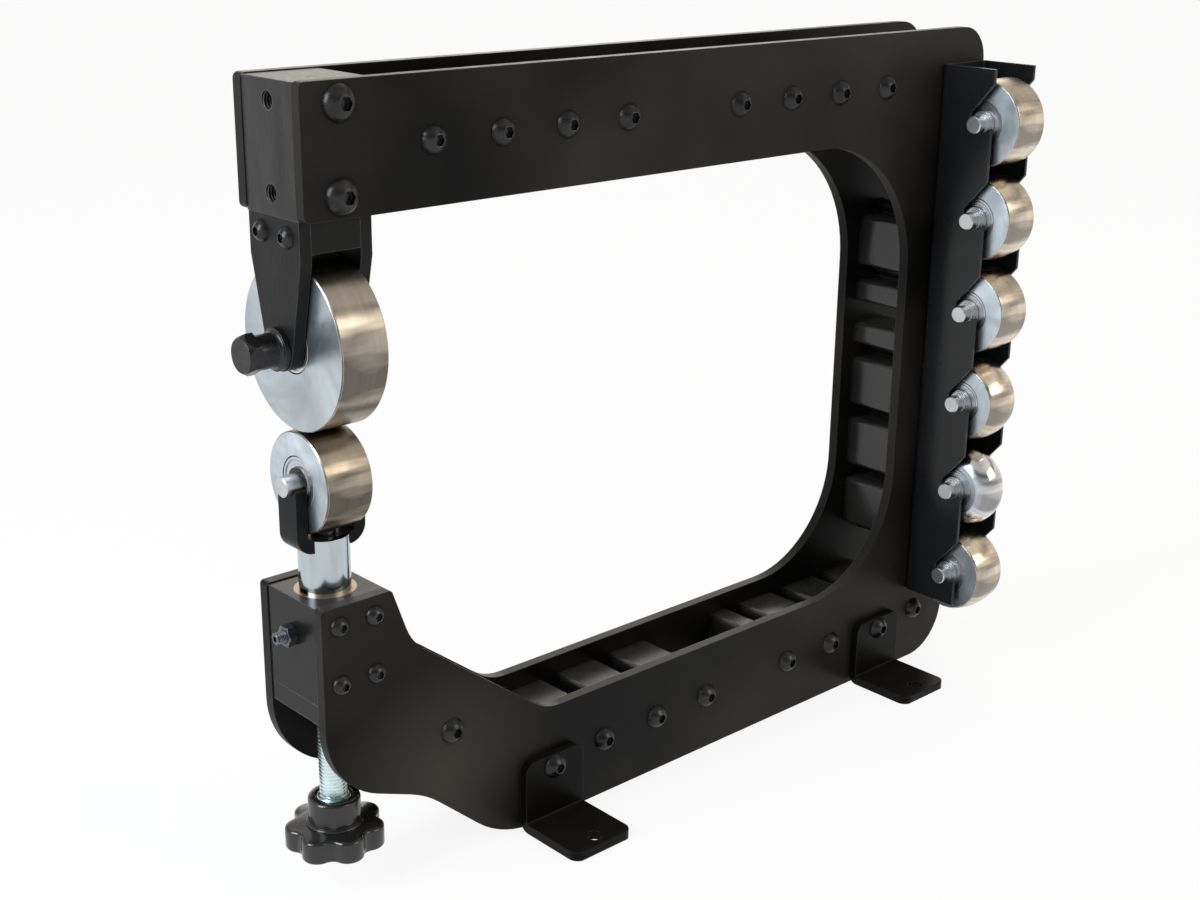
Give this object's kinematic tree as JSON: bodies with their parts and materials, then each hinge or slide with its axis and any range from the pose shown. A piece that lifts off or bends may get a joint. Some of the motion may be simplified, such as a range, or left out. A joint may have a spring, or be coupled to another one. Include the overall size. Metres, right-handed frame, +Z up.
{
  "type": "english wheel",
  "caption": "Bench english wheel: two-plate C frame, upper wheel in a fork, screw-raised ram with an anvil wheel, and a notched rack of spare anvils.",
  "frame": {"origin": "centre of the four bench holes, in the plane of the bench", "axes": "+X from the head to the rear column, +Y away from the rack across both side plates, +Z up"},
  "size_m": [0.499, 0.1495, 0.4],
  "materials": {
    "black_paint": "satin black paint",
    "dark_steel": "dark oiled steel, slightly mottled",
    "black_oxide": "black oxide",
    "turned_steel": "turned and polished",
    "bearing_steel": "satin",
    "chrome": "polished",
    "bronze": "dull bronze",
    "zinc": "bright zinc plate",
    "black_plastic": "gloss"
  },
  "bodies": {
    "frame": {"near_plate": "black_paint", "far_plate": "black_paint", "head_block": "dark_steel", "upper_spacers": "black_paint", "column_spacers": "black_paint", "lower_spacers": "black_paint", "nose_spacer": "black_oxide", "guide_block": "black_paint", "guide_bush": "bronze", "screw_plate": "black_paint", "screw_plate_screws": "black_oxide", "head_screws": "black_oxide", "guide_screws": "black_oxide", "tie_screws": "black_oxide", "column_screws": "black_oxide", "tie_nuts": "black_oxide", "near_feet": "black_paint", "far_feet": "black_paint", "carrier_block": "dark_steel", "carrier_screws": "black_oxide", "fork_plate_front": "dark_steel", "fork_plate_rear": "dark_steel", "fork_screws": "black_oxide", "axle_bolt": "black_oxide", "axle_sleeve": "black_oxide", "axle_nut": "black_oxide", "wheel_inner_rings": "bearing_steel", "set_screw": "black_oxide", "lock_nut": "zinc", "rack_channel": "black_paint", "rack_screws": "black_oxide"},
    "wheel": {"upper_wheel": "turned_steel", "wheel_bearings": "bearing_steel"},
    "ram": {"ram_shaft": "chrome", "yoke": "black_paint", "yoke_screw": "black_oxide"},
    "lift_screw": {"lead_screw": "zinc", "star_knob": "black_plastic"},
    "working_axle": {"working_pin": "zinc"},
    "working_wheel": {"working_anvil": "turned_steel", "working_bearings": "bearing_steel"},
    "spare_axle_1": {"rack_pin_1": "zinc"},
    "spare_wheel_1": {"rack_anvil_1": "turned_steel", "rack_bearings_1": "bearing_steel"},
    "spare_axle_2": {"rack_pin_2": "zinc"},
    "spare_wheel_2": {"rack_anvil_2": "turned_steel", "rack_bearings_2": "bearing_steel"},
    "spare_axle_3": {"rack_pin_3": "zinc"},
    "spare_wheel_3": {"rack_anvil_3": "turned_steel", "rack_bearings_3": "bearing_steel"},
    "spare_axle_4": {"rack_pin_4": "zinc"},
    "spare_wheel_4": {"rack_anvil_4": "turned_steel", "rack_bearings_4": "bearing_steel"},
    "spare_axle_5": {"rack_pin_5": "zinc"},
    "spare_wheel_5": {"rack_anvil_5": "turned_steel", "rack_bearings_5": "bearing_steel"},
    "spare_axle_6": {"rack_pin_6": "zinc"},
    "spare_wheel_6": {"rack_anvil_6": "turned_steel", "rack_bearings_6": "bearing_steel"}
  },
  "joints": [
    {"name": "wheel_spin", "type": "hinge", "parent": "frame", "child": "wheel", "pos_m": [-0.254, 0, 0.28], "axis": [1, 0, 0], "continuous": true},
    {"name": "ram_lift", "type": "slide", "parent": "frame", "child": "ram", "axis": [0, 0, 1], "range_m": [-0.018, 0]},
    {"name": "lift_screw_turn", "type": "hinge", "parent": "ram", "child": "lift_screw", "pos_m": [-0.254, 0, 0.05], "axis": [0, 0, 1], "range_deg": [-3240, 0]},
    {"name": "working_axle_lift_out", "type": "slide", "parent": "ram", "child": "working_axle", "axis": [0, 1, 0], "range_m": [0, 0.03]},
    {"name": "working_wheel_spin", "type": "hinge", "parent": "working_axle", "child": "working_wheel", "pos_m": [-0.254, 0, 0.2146], "axis": [1, 0, 0], "continuous": true},
    {"name": "spare_axle_1_lift_out", "type": "slide", "parent": "frame", "child": "spare_axle_1", "axis": [0, -0.9063, 0.4226], "range_m": [0, 0.03]},
    {"name": "spare_wheel_1_spin", "type": "hinge", "parent": "spare_axle_1", "child": "spare_wheel_1", "pos_m": [0.184, -0.0535, 0.348], "axis": [1, 0, 0], "continuous": true},
    {"name": "spare_axle_2_lift_out", "type": "slide", "parent": "frame", "child": "spare_axle_2", "axis": [0, -0.9063, 0.4226], "range_m": [0, 0.03]},
    {"name": "spare_wheel_2_spin", "type": "hinge", "parent": "spare_axle_2", "child": "spare_wheel_2", "pos_m": [0.184, -0.0535, 0.292], "axis": [1, 0, 0], "continuous": true},
    {"name": "spare_axle_3_lift_out", "type": "slide", "parent": "frame", "child": "spare_axle_3", "axis": [0, -0.9063, 0.4226], "range_m": [0, 0.03]},
    {"name": "spare_wheel_3_spin", "type": "hinge", "parent": "spare_axle_3", "child": "spare_wheel_3", "pos_m": [0.184, -0.0535, 0.236], "axis": [1, 0, 0], "continuous": true},
    {"name": "spare_axle_4_lift_out", "type": "slide", "parent": "frame", "child": "spare_axle_4", "axis": [0, -0.9063, 0.4226], "range_m": [0, 0.03]},
    {"name": "spare_wheel_4_spin", "type": "hinge", "parent": "spare_axle_4", "child": "spare_wheel_4", "pos_m": [0.184, -0.0535, 0.18], "axis": [1, 0, 0], "continuous": true},
    {"name": "spare_axle_5_lift_out", "type": "slide", "parent": "frame", "child": "spare_axle_5", "axis": [0, -0.9063, 0.4226], "range_m": [0, 0.03]},
    {"name": "spare_wheel_5_spin", "type": "hinge", "parent": "spare_axle_5", "child": "spare_wheel_5", "pos_m": [0.184, -0.0535, 0.124], "axis": [1, 0, 0], "continuous": true},
    {"name": "spare_axle_6_lift_out", "type": "slide", "parent": "frame", "child": "spare_axle_6", "axis": [0, -0.9063, 0.4226], "range_m": [0, 0.03]},
    {"name": "spare_wheel_6_spin", "type": "hinge", "parent": "spare_axle_6", "child": "spare_wheel_6", "pos_m": [0.184, -0.0535, 0.068], "axis": [1, 0, 0], "continuous": true}
  ],
  "couplings": [
    {"joint": "lift_screw_turn", "follows": "ram_lift", "rad_per_m": 3141.6}
  ]
}
